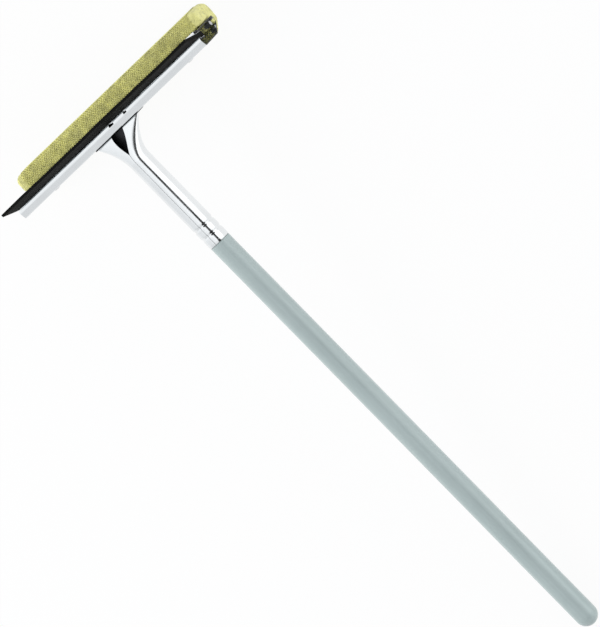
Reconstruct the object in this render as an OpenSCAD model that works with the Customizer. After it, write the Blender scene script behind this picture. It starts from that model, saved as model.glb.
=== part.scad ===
// Window scrubber: a rubber wiping blade and a net-covered foam block on one folded sheet-metal head,
// carried by a rolled sheet-metal shank on a round wooden handle. Millimetres.
// The tool is drawn with the handle's axis on Y, the head along X, the blade towards +Z and y = 0 at the
// head's handle-side wall. It is then laid down as it rests on a floor, on the foam and the handle's end.

/* [Head] */
// Length of the folded sheet-metal head
head_length = 203.2; // [150:1:305]
// Thickness of the head's sheet
sheet = 0.8; // [0.6:0.1:1]
// Distance over the head's two walls
head_width = 12.65; // [12.2:0.05:15]
// Depth of the head from the blade's lip to the throat that grips the net
head_depth = 44.6; // [42:0.5:60]
// How far the lip at the blade lies under the handle's axis
lip_drop = 1.95; // [1:0.05:4]
// Fall of the sloping roof from the lip to the handle-side wall
roof_fall = 2.5; // [1:0.1:4]
// Height of the tapered part of the handle-side wall
taper_height = 13.5; // [12:0.5:16]
// Width of the throat between the two bottom edges
throat_gap = 2; // [1.9:0.1:2.4]
// Bend radius of the sheet, at its middle
bend_r = 0.6; // [0.55:0.05:0.7]

/* [Blade] */
// How far the rubber strip stands out past each end of the head
blade_overhang = 0.9; // [0:0.1:3]
// Thickness of the rubber where it leaves the head
blade_thick = 3; // [2:0.1:3.4]
// Thickness of the rubber at its wiping edge
edge_thick = 2; // [1:0.1:3]
// Length of rubber that stands out of the head
blade_reach = 23.5; // [15:0.1:35]
// Forward lean of the blade from square to the handle
blade_lean = 9.5; // [8:0.5:12]
// Width of the thicker root of the rubber
root_width = 4.2; // [4:0.1:4.4]
// Height of the thicker root of the rubber
root_height = 3.8; // [2:0.1:5]
// Depth of the rubber inside the head
root_depth = 10.5; // [8:0.1:11]
// Running clearance of the rubber in its channel
blade_clear = 0.3; // [0.3:0.01:0.35]

/* [Foam block] */
// Length of the foam block
foam_length = 198.4; // [140:1:300]
// How far the foam stands out in front of the head's front wall
foam_front = 13.5; // [10:0.5:25]
// Depth of the foam's upper face under the handle's axis
foam_top = 30.4; // [28:0.1:34]
// Depth of the foam's back lower edge under the handle's axis
foam_bottom = 58.3; // [54:0.1:75]
// How far the foam, with its net, stands behind the head's handle-side wall
foam_back = 0; // [0:0.1:1]
// Corner radius of the foam's front corners, seen from above
foam_corner = 5; // [2:0.5:8]
// Thickness of the net
net_thick = 0.5; // [0.3:0.1:0.6]
// Clearance between the net and the head
net_clear = 0.35; // [0.3:0.05:0.5]
// Diameter of the rod that the net is wrapped round
net_rod_d = 4; // [3:0.1:4.2]

/* [Shank] */
// Outside diameter of the shank's tube
tube_d = 18.2; // [16:0.1:24]
// Thickness of the shank's sheet
shank_sheet = 0.8; // [0.6:0.1:1]
// Length of the shank from the head to its open end
shank_length = 110.5; // [90:0.5:160]
// Length of the fan between the tube and the head
fan_length = 26.2; // [22:0.1:34]
// Width of the fan at the head
fan_width = 46.2; // [36:0.2:60]
// Depth of the fan at the head
fan_depth = 7.2; // [6:0.1:12]
// Width of the V notch at the head
notch_width = 12.2; // [6:0.1:18]
// Length of the V notch
notch_length = 19.3; // [12:0.1:21]
// Width of the closed seam along the tube
seam_width = 0.15; // [0.1:0.05:0.3]
// Height of the flange that is riveted to the head
flange_height = 19; // [18:0.5:23]
// How far the flange is wider than the fan, on each side
flange_margin = 0.6; // [0.2:0.1:3]
// Distance from the shank's end to its first crimp ring
crimp_first = 8.5; // [6:0.1:14]
// Distance between the two crimp rings
crimp_pitch = 8.4; // [7:0.1:12]
// Width of a crimp ring
crimp_width = 3.4; // [2:0.1:5]
// Depth of a crimp ring
crimp_depth = 0.7; // [0.3:0.05:0.9]

/* [Handle] */
// Diameter of the handle
handle_d = 17.6; // [15:0.1:22]
// Length of handle that shows, with its round end
handle_length = 394.1; // [250:1:1200]
// Length of the tenon inside the shank
tenon_length = 62; // [30:1:80]
// Clearance of the tenon in the shank
tenon_clear = 0.05; // [0.03:0.01:0.1]
// Chamfer at the handle's shoulder
shoulder_chamfer = 0.5; // [0.2:0.1:1]

/* [Rivets] */
// Shank diameter of the flange's rivets
flange_rivet_d = 3.2; // [2.4:0.1:4]
// Distance between the flange's rivets
flange_rivet_pitch = 15; // [10:0.5:20]
// Depth of the flange's rivets under the top of the flange
flange_rivet_drop = 13; // [12:0.1:14]
// Thickness of the plate inside the head
plate_thick = 1.5; // [1:0.1:2]
// Shank diameter of the long rivets
long_rivet_d = 3.2; // [2.4:0.1:4]
// Distance between the two long rivets
long_rivet_span = 150; // [90:1:180]
// Depth of the long rivets under the handle's axis
long_rivet_drop = 23; // [20:0.1:25]
// Wall of the spacer tubes
spacer_wall = 1.3; // [0.8:0.1:2]
// Clearance of every rivet in its hole
rivet_clear = 0.06; // [0.04:0.01:0.1]

/* [Hidden] */
$fn = 64;
bend_steps = 6;
crimp_steps = 2;
soft_steps = 10;
tube_sides = 48;
overlap = 0.1;
fit = 0.05;

// Frame of the blade: its mouth in the head, the direction that it stands in and its thickness direction
blade_dir = [sin(blade_lean), cos(blade_lean)];
blade_side = [cos(blade_lean), -sin(blade_lean)];
mouth_half = blade_thick / 2 + blade_clear + sheet / 2;
cavity_half = root_width / 2 + blade_clear + sheet / 2;
cavity_floor = root_depth + blade_clear + sheet / 2;
shoulder_drop = root_depth - root_height - blade_clear;
outer_half = cavity_half + sheet + overlap;
outer_bend_drop = 9.1;
front_y = head_width - sheet / 2;
mouth_y = front_y - outer_half * blade_side[0] + outer_bend_drop * blade_dir[0];
mouth = [mouth_y, -lip_drop - mouth_half * sin(blade_lean)];
function in_blade(w, h) = mouth + w * blade_side + h * blade_dir;

// Folded head: its sheet's middle line as [y, z, bend radius], from the front bottom edge to the back one
lip = in_blade(-mouth_half, 0);
wrap_r = net_rod_d / 2 + fit + net_thick;
throat_z = -lip_drop - head_depth + sheet / 2;
throat_y = front_y - sheet / 2 - net_clear - wrap_r;
taper_top_z = throat_z - sheet / 2 + taper_height;
front_bend_z = in_blade(outer_half, -outer_bend_drop)[1];
shell_path = [
  [throat_y + throat_gap / 2, throat_z, 0],
  [front_y, throat_z, bend_r],
  [front_y, front_bend_z, bend_r * 3],
  [in_blade(outer_half, 0)[0], in_blade(outer_half, 0)[1], bend_r],
  [in_blade(mouth_half, 0)[0], in_blade(mouth_half, 0)[1], bend_r],
  [in_blade(mouth_half, -shoulder_drop + 1)[0], in_blade(mouth_half, -shoulder_drop + 1)[1], bend_r],
  [in_blade(cavity_half, -shoulder_drop)[0], in_blade(cavity_half, -shoulder_drop)[1], bend_r],
  [in_blade(cavity_half, -cavity_floor)[0], in_blade(cavity_half, -cavity_floor)[1], bend_r],
  [in_blade(-cavity_half, -cavity_floor)[0], in_blade(-cavity_half, -cavity_floor)[1], bend_r],
  [in_blade(-cavity_half, -shoulder_drop)[0], in_blade(-cavity_half, -shoulder_drop)[1], bend_r],
  [in_blade(-mouth_half, -shoulder_drop + 1)[0], in_blade(-mouth_half, -shoulder_drop + 1)[1], bend_r],
  [lip[0], lip[1], bend_r],
  [sheet / 2, lip[1] - roof_fall, bend_r],
  [sheet / 2, taper_top_z, bend_r * 3],
  [throat_y - throat_gap / 2 - sheet / 2, throat_z, 0]
];

// Net rod: it lies in the throat, clear of the tapered wall, the front wall and the front edge
taper_dir = unit([throat_y - throat_gap / 2 - sheet, throat_z - taper_top_z]);
taper_normal = [-taper_dir[1], taper_dir[0]];
rod_y = throat_y;
rod_z = throat_z + max(sheet / 2 + net_clear + wrap_r,
  (sheet / 2 + net_clear + wrap_r - (throat_gap / 2 + sheet / 2) * taper_normal[0]) / taper_normal[1]);

// Resting pose: the foam's back lower edge and the handle's round end touch the floor
handle_r = handle_d / 2;
handle_end_y = -shank_length - handle_length;
dome_y = handle_end_y + handle_r;
foam_heel_y = throat_y - 1;
rest_reach = foam_heel_y - dome_y;
rest_tilt = acos(handle_r / norm([foam_bottom, rest_reach])) - atan2(rest_reach, foam_bottom);
rest_lift = handle_r - dome_y * sin(rest_tilt);
function floor_z(y, up = 0) = (up - rest_lift - y * sin(rest_tilt)) / cos(rest_tilt);

// Net and foam: the net's middle line as [y, z, corner radius], from the rod down, round the foam and back
net_half = net_thick / 2;
tail_half = net_half + fit;
groove_z = throat_z - sheet / 2 - net_clear - net_half;
groove_front_y = head_width + net_clear + net_half;
foam_front_y = head_width + foam_front - net_half;
foam_back_y = -foam_back + net_half;
foam_toe_r = 8;
taper_foot = taper_line_y(groove_z);
net_bottom_z = net_half;
function taper_line_y(z) = sheet / 2 + (z - taper_top_z) * taper_dir[0] / taper_dir[1]
  - (sheet / 2 + net_clear + net_half) / abs(taper_dir[1]);
flap_top_z = taper_top_z + (foam_back_y - taper_line_y(taper_top_z)) * taper_dir[1] / taper_dir[0];
net_path = [
  [rod_y + tail_half, groove_z, net_thick],
  [groove_front_y, groove_z, 1],
  [groove_front_y, -foam_top - net_half, 1],
  [foam_front_y, -foam_top - net_half, 5],
  [foam_front_y, floor_z(foam_front_y, net_bottom_z), foam_toe_r],
  [foam_heel_y, floor_z(foam_heel_y, net_bottom_z), 5],
  [foam_back_y, -foam_bottom + 16.5, 4],
  [foam_back_y, flap_top_z, 0.8],
  [taper_foot, groove_z, 1],
  [rod_y - tail_half, groove_z, net_thick]
];
wrap_mid_r = wrap_r - net_half;
tail_angle = asin(tail_half / wrap_mid_r);
wrap_gap = 4;
front_wrap = [for (k = [0:12]) rod_point(90 - wrap_gap - k / 12 * (180 - wrap_gap - tail_angle))];
back_wrap = [for (k = [0:12]) rod_point(270 - tail_angle - k / 12 * (180 - wrap_gap - tail_angle))];
function rod_point(a) = [rod_y + wrap_mid_r * cos(a), rod_z + wrap_mid_r * sin(a)];
foam_path = concat([[rod_y, groove_z, 0]], [for (i = [1:len(net_path) - 2]) net_path[i]], [[rod_y, groove_z, 0]]);
foam_line = side_line(rounded(foam_path, soft_steps), -net_half - fit);
foam_outline = [for (i = [0:len(foam_line) - 2]) foam_line[i]];

// Placement: laid on the floor, with the origin under the middle of the whole tool
toe_y = head_width + foam_front - foam_toe_r - net_half;
toe_z = floor_z(toe_y, foam_toe_r + net_half);
front_reach = toe_y * cos(rest_tilt) - toe_z * sin(rest_tilt) + foam_toe_r + net_half;
back_reach = dome_y * cos(rest_tilt) - handle_r;
centre_y = (front_reach + back_reach) / 2;
module laid() {
  translate([0, -centre_y, rest_lift])
    rotate([rest_tilt, 0, 0])
      children();
}

// Paths: unit vectors, rounded corners and lines beside a path
function unit(v) = v / norm(v);
function side(v) = [-v[1], v[0]];
function turn(u, v) = atan2(u[0] * v[1] - u[1] * v[0], u * v);
function flat(p) = [p[0], p[1]];
function arc(centre, from, sweep, steps) = [
  for (k = [0:steps])
    let (c = cos(sweep * k / steps), s = sin(sweep * k / steps))
    centre + [from[0] * c - from[1] * s, from[0] * s + from[1] * c]
];
function corner(before, at, after, r, steps) =
  let (a = unit(before - at), b = unit(after - at), half = acos(a * b) / 2,
    centre = at + unit(a + b) * r / sin(half),
    from = at + a * r / tan(half) - centre, to = at + b * r / tan(half) - centre)
  arc(centre, from, turn(from, to), steps);
function rounded(path, steps) = [
  for (i = [0:len(path) - 1])
    each (i == 0 || i == len(path) - 1 || path[i][2] == 0)
      ? [flat(path[i])]
      : corner(flat(path[i - 1]), flat(path[i]), flat(path[i + 1]), path[i][2], steps)
];
function mitre(path, i) =
  let (n1 = side(unit(path[max(i, 1)] - path[max(i, 1) - 1])),
    n2 = side(unit(path[min(i, len(path) - 2) + 1] - path[min(i, len(path) - 2)])),
    m = unit(n1 + n2))
  m / (m * n1);
function side_line(path, d) = [for (i = [0:len(path) - 1]) path[i] + d * mitre(path, i)];
function backwards(list) = [for (i = [len(list) - 1:-1:0]) list[i]];
function ribbon(path, t) = concat(side_line(path, t / 2), backwards(side_line(path, -t / 2)));

// A profile in the Y-Z plane drawn out along X
module along_x(length) {
  rotate([90, 0, 90])
    linear_extrude(height = length, center = true)
      children();
}

// A profile turned round the handle's axis; its first coordinate is the radius, its second is -y
module round_handle() {
  rotate([90, 0, 0])
    rotate_extrude()
      children();
}

// A round bar or hole through the head's walls, from y0 to y1 at x and z
module across_head(x, z, y0, y1, r) {
  translate([x, y0, z])
    rotate([-90, 0, 0])
      cylinder(r = r, h = y1 - y0);
}

// Shank: the fan's section at s, from 0 at the tube to 1 at the head
tube_r = tube_d / 2;
fan_top = -lip_drop - roof_fall;
fan_steps = 10;
function fan_y(s) = -fan_length + s * (fan_length - shank_sheet / 2);
function fan_half(s) = tube_r + (fan_width / 2 - tube_r) * pow(s, 1.75);
function fan_high(s) = tube_r + (fan_top - tube_r) * pow(s, 1.6);
function fan_low(s) = -tube_r + (fan_top - fan_depth + tube_r) * pow(s, 2);
function fan_power(s) = 1 / (1 + 0.3 * s);
function signed_pow(v, p) = sign(v) * pow(abs(v), p);
function fan_section(s, in) = [
  for (k = [0:tube_sides - 1])
    let (a = 360 * k / tube_sides, half = fan_half(s) - in,
      up = (fan_high(s) - fan_low(s)) / 2 - in, mid = (fan_high(s) + fan_low(s)) / 2)
    [half * signed_pow(cos(a), fan_power(s)), mid + up * signed_pow(sin(a), fan_power(s))]
];
function fan_ring(s, in) = [for (p = fan_section(s, in)) [p[0], fan_y(s), p[1]]];
function tube_ring(p) = [
  for (k = [0:tube_sides - 1])
    let (a = 360 * k / tube_sides)
    [p[0] * cos(a), -p[1], p[0] * sin(a)]
];

// Middle line of the tube's wall with its two crimp rings, as [radius, distance from the head]
tube_mid_r = tube_r - shank_sheet / 2;
crimp_places = [shank_length - crimp_first - crimp_pitch, shank_length - crimp_first];
crimp_bend = 0.9;
tube_path = concat(
  [[tube_mid_r, fan_length, 0]],
  [for (c = crimp_places) each [
    [tube_mid_r, c - crimp_width / 2, crimp_bend],
    [tube_mid_r - crimp_depth, c, crimp_bend],
    [tube_mid_r, c + crimp_width / 2, crimp_bend]
  ]],
  [[tube_mid_r, shank_length, 0]]
);
tube_line = rounded(tube_path, crimp_steps);

// Wall of the tube and the fan as closed rings: up its outside to the head and back down its inside
wall_rings = concat(
  [for (p = backwards(side_line(tube_line, -shank_sheet / 2))) tube_ring(p)],
  [for (i = [1:fan_steps]) fan_ring(i / fan_steps, 0)],
  [for (i = [fan_steps:-1:1]) fan_ring(i / fan_steps, shank_sheet)],
  [for (p = side_line(tube_line, shank_sheet / 2)) tube_ring(p)]
);
function ring_faces(rings, n) = [
  for (r = [0:rings - 1], k = [0:n - 1])
    let (a = r * n + k, b = r * n + (k + 1) % n, c = (r + 1) % rings * n + k, d = (r + 1) % rings * n + (k + 1) % n)
    each [[a, b, c], [b, d, c]]
];

// Flange: a flat plate against the head, open at the fan's mouth and split at the top by the notch
flange_half = fan_width / 2 + flange_margin;
flange_top_z = fan_top + flange_margin / 2;
flange_bottom_z = flange_top_z - flange_height;
flange_corners = [
  [0, flange_top_z, 0],
  [-flange_half, flange_top_z, 2],
  [-flange_half, flange_bottom_z, 6],
  [flange_half, flange_bottom_z, 6],
  [flange_half, flange_top_z, 2],
  [0, flange_top_z, 0]
];
flange_rivet_z = flange_top_z - flange_rivet_drop;
flange_rivet_places = [for (k = [-1:1]) k * flange_rivet_pitch];
mouth_lap = 0.2;
notch_shape = concat(
  [for (k = [0:10]) [notch_side(k / 10), (k / 10 - 1) * notch_length]],
  [[notch_width / 2, 1], [-notch_width / 2, 1]],
  [for (k = [10:-1:1]) [-notch_side(k / 10), (k / 10 - 1) * notch_length]]
);
function notch_side(k) = notch_width / 2 * pow(sin(90 * k), 1.2);
notch_floor_z = fan_top - shank_sheet - 1;

module flange_plate() {
  outline = rounded(flange_corners, bend_steps);
  rotate([90, 0, 0])
    linear_extrude(height = shank_sheet)
      difference() {
        polygon([for (i = [0:len(outline) - 2]) outline[i]]);
        polygon(fan_section(1, shank_sheet + mouth_lap));
      }
}

module shank() {
  color([0.80, 0.82, 0.83])
    laid()
      difference() {
        union() {
          polyhedron(points = [for (r = wall_rings) each r], faces = ring_faces(len(wall_rings), tube_sides));
          flange_plate();
        }
        translate([0, 0, notch_floor_z])
          linear_extrude(height = tube_r * 2)
            polygon(notch_shape);
        translate([-seam_width / 2, -shank_length - 1, tube_r / 2])
          cube([seam_width, shank_length - notch_length + 1 + seam_width, tube_r]);
        for (x = flange_rivet_places)
          across_head(x, flange_rivet_z, -shank_sheet - 1, 1, flange_rivet_d / 2 + rivet_clear);
      }
}

// Handle: dowel, round end, shoulder and a tenon that follows the crimp rings
tenon_line = [for (p = side_line(tube_line, shank_sheet / 2 + tenon_clear)) if (p[1] > shank_length - tenon_length) p];
tenon_r = tube_r - shank_sheet - tenon_clear;
module handle() {
  color([0.66, 0.71, 0.70])
    laid()
      union() {
        round_handle()
          polygon(concat(
            [[0, shank_length - tenon_length], [tenon_r - 1, shank_length - tenon_length],
              [tenon_r, shank_length - tenon_length + 1]],
            [for (p = tenon_line) if (p[1] > shank_length - tenon_length + 1 && p[1] < shank_length - fit) p],
            [[tenon_r, shank_length], [handle_r - shoulder_chamfer, shank_length],
              [handle_r, shank_length + shoulder_chamfer], [handle_r, -dome_y], [0, -dome_y]]
          ));
        translate([0, dome_y, 0])
          rotate([90, 0, 0])
            sphere(r = handle_r);
      }
}

// Two notches staked into the lip to hold the rubber, as [place, width]
stake_notches = [[1.5, 4.6], [16.5, 2.4]];
stake_depth = 3;
module head_shell() {
  color([0.84, 0.86, 0.87])
    laid()
      difference() {
        along_x(head_length)
          polygon(ribbon(rounded(shell_path, bend_steps), sheet));
        for (x = flange_rivet_places)
          across_head(x, flange_rivet_z, -1, sheet + 1, flange_rivet_d / 2 + rivet_clear);
        for (x = long_rivet_places)
          across_head(x, -long_rivet_drop, -1, head_width + 1, long_rivet_d / 2 + rivet_clear);
        for (notch = stake_notches)
          translate([notch[0] - notch[1] / 2, lip[0] - stake_depth, lip[1] - roof_fall / 2])
            cube([notch[1], stake_depth + sheet / 2 + fit, roof_fall]);
      }
}

// Backing plate: inside the head, behind the flange
plate_margin = 2;
plate_top_z = flange_rivet_z + 6;
plate_bottom_z = flange_bottom_z;
module backing_plate() {
  color([0.62, 0.63, 0.64])
    laid()
      difference() {
        translate([-flange_half + plate_margin, sheet, plate_bottom_z])
          cube([2 * (flange_half - plate_margin), plate_thick, plate_top_z - plate_bottom_z]);
        for (x = flange_rivet_places)
          across_head(x, flange_rivet_z, 0, sheet + plate_thick + 1, flange_rivet_d / 2 + rivet_clear);
      }
}

// Rivet along Y from y0 to y1, with a domed head before y0 and a flat one after y1
module rivet(x, z, y0, y1, d, head_high) {
  across_head(x, z, y0, y1, d / 2);
  translate([x, y0, z])
    rotate([90, 0, 0])
      intersection() {
        translate([0, 0, head_high - d * 1.2])
          sphere(r = d * 1.2);
        cylinder(r = d, h = head_high);
      }
  translate([x, y1, z])
    rotate([-90, 0, 0])
      cylinder(r1 = d * 0.85, r2 = d * 0.7, h = head_high * 0.8);
}

flange_head = 1.2;
module flange_rivets() {
  color([0.78, 0.79, 0.80])
    laid()
      for (x = flange_rivet_places)
        rivet(x, flange_rivet_z, -shank_sheet, sheet + plate_thick, flange_rivet_d, flange_head);
}

long_rivet_places = [-long_rivet_span / 2, long_rivet_span / 2];
long_head = 1.1;
module shell_rivets() {
  color([0.78, 0.79, 0.80])
    laid()
      for (x = long_rivet_places)
        rivet(x, -long_rivet_drop, 0, head_width, long_rivet_d, long_head);
}

module shell_spacers() {
  color([0.55, 0.56, 0.57])
    laid()
      for (x = long_rivet_places)
        difference() {
          across_head(x, -long_rivet_drop, sheet, head_width - sheet, long_rivet_d / 2 + rivet_clear + spacer_wall);
          across_head(x, -long_rivet_drop, 0, head_width, long_rivet_d / 2 + rivet_clear);
        }
}

// Blade: rubber strip, with a thicker root that its channel holds
root_step = 0.7;
blade_outline = [
  in_blade(blade_thick / 2, 0),
  in_blade(edge_thick / 2, blade_reach),
  in_blade(-edge_thick / 2, blade_reach),
  in_blade(-blade_thick / 2, 0),
  in_blade(-blade_thick / 2, -root_depth + root_height + root_step),
  in_blade(-root_width / 2, -root_depth + root_height),
  in_blade(-root_width / 2, -root_depth + root_step),
  in_blade(-root_width / 2 + root_step, -root_depth),
  in_blade(root_width / 2 - root_step, -root_depth),
  in_blade(root_width / 2, -root_depth + root_step),
  in_blade(root_width / 2, -root_depth + root_height),
  in_blade(blade_thick / 2, -root_depth + root_height + root_step)
];
module blade() {
  color([0.09, 0.09, 0.10])
    laid()
      along_x(head_length + 2 * blade_overhang)
        polygon(blade_outline);
}

// Foam: a block with a slot for the head's lower part and rounded front corners
foam_face_y = head_width + foam_front - net_thick - fit;
module foam() {
  color([0.72, 0.70, 0.36])
    laid()
      difference() {
        along_x(foam_length)
          polygon(foam_outline);
        for (e = [-1, 1])
          translate([e * (foam_length / 2 - foam_corner), foam_face_y - foam_corner, -foam_bottom - 20])
            difference() {
              translate([e > 0 ? 0 : -foam_corner - 1, 0, 0])
                cube([foam_corner + 1, foam_corner + 1, foam_bottom]);
              translate([0, 0, -1])
                cylinder(r = foam_corner, h = foam_bottom + 2);
            }
      }
}

net_length = foam_length - 2 * foam_corner;
module net_cover() {
  color([0.80, 0.79, 0.47])
    laid()
      along_x(net_length)
        polygon(ribbon(concat(front_wrap, rounded(net_path, soft_steps), back_wrap), net_thick));
}

module net_rod() {
  color([0.70, 0.71, 0.72])
    laid()
      translate([-foam_length / 2, rod_y, rod_z])
        rotate([0, 90, 0])
          cylinder(r = net_rod_d / 2, h = foam_length);
}

handle();
shank();
head_shell();
backing_plate();
flange_rivets();
shell_spacers();
shell_rivets();
blade();
foam();
net_cover();
net_rod();
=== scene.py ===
"""Finished look of a window scrubber: chrome head and shank, rubber blade, netted foam and painted handle."""

import math

import bmesh
import bpy
import numpy as np
from bpy.props import FloatProperty, FloatVectorProperty, PointerProperty
from mathutils import Matrix, Vector


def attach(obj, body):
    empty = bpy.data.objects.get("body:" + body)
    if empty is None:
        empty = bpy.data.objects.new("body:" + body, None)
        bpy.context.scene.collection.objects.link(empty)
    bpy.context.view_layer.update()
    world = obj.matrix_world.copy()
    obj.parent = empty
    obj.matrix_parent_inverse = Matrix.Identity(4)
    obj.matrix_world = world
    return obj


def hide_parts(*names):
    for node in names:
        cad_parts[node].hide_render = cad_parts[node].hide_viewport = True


bl_info = {
    "name": "Window scrubber",
    "version": (1, 0, 0),
    "blender": (4, 5, 0),
    "location": "3D View > Sidebar > Scrubber",
    "description": "Builds the pieces and finishes of a window scrubber round its solid model",
    "category": "Object",
}

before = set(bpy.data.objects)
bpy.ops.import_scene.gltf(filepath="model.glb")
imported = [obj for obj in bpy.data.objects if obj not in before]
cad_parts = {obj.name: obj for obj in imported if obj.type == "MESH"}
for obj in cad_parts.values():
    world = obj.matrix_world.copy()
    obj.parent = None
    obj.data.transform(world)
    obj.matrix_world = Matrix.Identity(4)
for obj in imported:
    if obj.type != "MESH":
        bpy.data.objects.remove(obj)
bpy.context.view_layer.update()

MM = 0.001
# How the tool lies on its foam and its handle's end: tilt about X, then a move in millimetres
TILT = math.radians(5.60727)
REST_LIFT = 57.2442
CENTRE_Y = -235.591

# Sizes of the solid model that these pieces repeat, in millimetres, in the tool's own frame
SHEET = 0.8
HEAD_WIDTH = 12.65
OUTER_BEND_DROP = 9.1
LIP_DROP = 1.95
ROOF_FALL = 2.5
HEAD_DEPTH = 44.6
TAPER_HEIGHT = 13.5
THROAT_GAP = 2.0
BEND_R = 0.6
# Stake notches in the lip, as (middle along the head, width), and how far they reach from the lip's corner
STAKE_NOTCHES = ((1.5, 4.6), (16.5, 2.4))
STAKE_DROP = 2.6
STAKE_BACK = 2.25
STAKE_FRONT = 0.25
BLADE_LEAN = 9.5
BLADE_CLEAR = 0.3
BLADE_THICK = 3.0
EDGE_THICK = 2.0
BLADE_REACH = 23.5
BLADE_LENGTH = 205.0
ROOT_WIDTH = 4.2
ROOT_HEIGHT = 3.8
ROOT_DEPTH = 10.5
ROOT_CHAMFER = 0.7
NET_LENGTH = 188.4
NET_THICK = 0.5
NET_CLEAR = 0.35
ROD_R = 2.0
FIT = 0.05
FOAM_FRONT = 13.5
FOAM_TOP = 30.4
FOAM_BOTTOM = 58.3
FOAM_TOE_R = 8
FOAM_HEEL_RISE = 16.5
TUBE_R = 9.1
SHANK_LENGTH = 110.5
FAN_LENGTH = 26.2
FAN_WIDTH = 46.2
FAN_DEPTH = 7.2
FAN_SPREAD = 1.75
FAN_RISE = 1.6
FAN_DROP = 2
FAN_SQUARING = 0.3
NOTCH_WIDTH = 12.2
NOTCH_LENGTH = 19.3
NOTCH_POWER = 1.2
SEAM_WIDTH = 0.15
FLANGE_HEIGHT = 19.0
FLANGE_MARGIN = 0.6
FLANGE_TOP_R = 2
FLANGE_BOTTOM_R = 6
FLANGE_RIVETS_X = (-15, 0, 15)
FLANGE_RIVET_DROP = 13.0
PLATE_THICK = 1.5
LONG_RIVETS_X = (-75, 75)
LONG_RIVET_Z = -23
RIVET_HEAD_R = 3.1
RIVET_TAIL_R = 2.6
RIVET_R = 1.6
RIVET_TAIL_SHARE = 0.75
CRIMPS = (93.6, 102.0)
CRIMP_WIDTH = 3.4
CRIMP_DEPTH = 0.7
HANDLE_R = 8.8
HANDLE_LENGTH = 394.1
TENON_LENGTH = 62.0
SHOULDER_R = 0.55

# Details that only show here
LIP_BEND_R = 2.2
BEND_STEPS = 9
SHANK_BEVEL = 0.15
HEAD_BEVEL = 0.12
BLADE_BEVEL = 0.18
# Bends in radians past which an edge is broken, or shaded as an edge
SHARP_BEND = 0.7
FOLD_BEND = 0.6
SHOULDER_BEND = 0.9
SHEET_STEP = 1.6
SHANK_COLUMNS = 161
TUBE_STEP = 2.5
CRIMP_ROWS = 13
GROOVE_ROWS = 9
FAN_ROWS = 46
SHELL_COLUMNS = 128
SHELL_WAVE = 0.12
BLADE_ROWS = 104
BLADE_STEP = 2.0
# Waves of the wiping edge, as (height, length of one radian, start), and how they grow towards it
EDGE_WAVES = ((0.16, 17.0, 0.6), (0.09, 7.3, 0.0))
EDGE_FREEDOM = 1.5
# Lumps of the foam, as (weight, frequency, seed), and how far past the net its ends take to swell
FOAM_LUMPS = ((0.7, 330.0, 4), (0.5, 900.0, 9))
SWELL_LENGTH = 2.0
FLOOR_CLEAR = 0.2
NOISE_WAVES = 14
NET_SLANT = 0.8
NET_WEAVE = 0.08
THREAD_POINTS = 96
HANDLE_SIDES = 96
HANDLE_RINGS = 80
DOME_RINGS = 20
HANDLE_GAP = 0.02


def length_value(name, description, default):
    return FloatProperty(name=name, description=description, default=default, unit="LENGTH")


def colour_value(name, description, default):
    return FloatVectorProperty(name=name, description=description, default=default, subtype="COLOR")


class ScrubberSizes(bpy.types.PropertyGroup):
    head_length: length_value("Head length", "Length of the folded head", 0.2032)
    net_pitch: length_value("Net pitch", "Distance between the net's threads along the foam", 0.0022)
    thread_radius: length_value("Thread radius", "Radius of one thread of the net", 0.00022)
    foam_voxel: length_value("Foam grain", "Size of the cells that the foam's mesh is made of", 0.0011)
    foam_bulge: length_value("Foam lumps", "Height of the foam's soft lumps", 0.0004)


class ScrubberColours(bpy.types.PropertyGroup):
    paint: colour_value("Handle paint", "Colour of the handle's paint", (0.40, 0.475, 0.465))
    chrome: colour_value("Chrome", "Colour of the chrome plating", (0.86, 0.88, 0.89))
    rubber: colour_value("Rubber", "Colour of the blade's rubber", (0.007, 0.007, 0.007))
    foam: colour_value("Foam", "Colour of the bare foam", (0.83, 0.80, 0.31))
    net: colour_value("Net", "Colour of the net's threads", (0.71, 0.69, 0.25))


def sizes():
    return bpy.context.scene.scrubber_sizes


def colours():
    return bpy.context.scene.scrubber_colours


def laid(points):
    """Points of the tool's own frame, in millimetres, as they lie on the floor, in metres."""
    p = np.asarray(points, float).reshape(-1, 3)
    c, s = math.cos(TILT), math.sin(TILT)
    return np.column_stack((
        p[:, 0],
        p[:, 1] * c - p[:, 2] * s - CENTRE_Y,
        p[:, 1] * s + p[:, 2] * c + REST_LIFT,
    )) * MM


def turned(vector):
    """A direction of the tool's own frame as it lies on the floor."""
    return Matrix.Rotation(TILT, 3, "X") @ Vector(vector)


# Outlines across the head, as [y, z] in millimetres
def unit(v):
    return v / np.linalg.norm(v)


def rounded(path, steps):
    """A path of [y, z, corner radius] with its corners turned into arcs."""
    out = []
    for i, (y, z, r) in enumerate(path):
        at = np.array([y, z])
        if i == 0 or i == len(path) - 1 or r == 0:
            out.append(at)
            continue
        a = unit(np.array(path[i - 1][:2]) - at)
        b = unit(np.array(path[i + 1][:2]) - at)
        half = math.acos(np.clip(a @ b, -1, 1)) / 2
        centre = at + unit(a + b) * r / math.sin(half)
        start = at + a * r / math.tan(half) - centre
        end = at + b * r / math.tan(half) - centre
        sweep = math.atan2(start[0] * end[1] - start[1] * end[0], start @ end)
        for k in range(steps + 1):
            c, s = math.cos(sweep * k / steps), math.sin(sweep * k / steps)
            out.append(centre + np.array([start[0] * c - start[1] * s, start[0] * s + start[1] * c]))
    return np.array(out)


def evened(path, step):
    """Points added along a path so that none are further apart than step."""
    out = [path[0]]
    for a, b in zip(path[:-1], path[1:]):
        n = max(1, math.ceil(np.linalg.norm(b - a) / step))
        out.extend(a + (b - a) * k / n for k in range(1, n + 1))
    return np.array(out)


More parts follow.
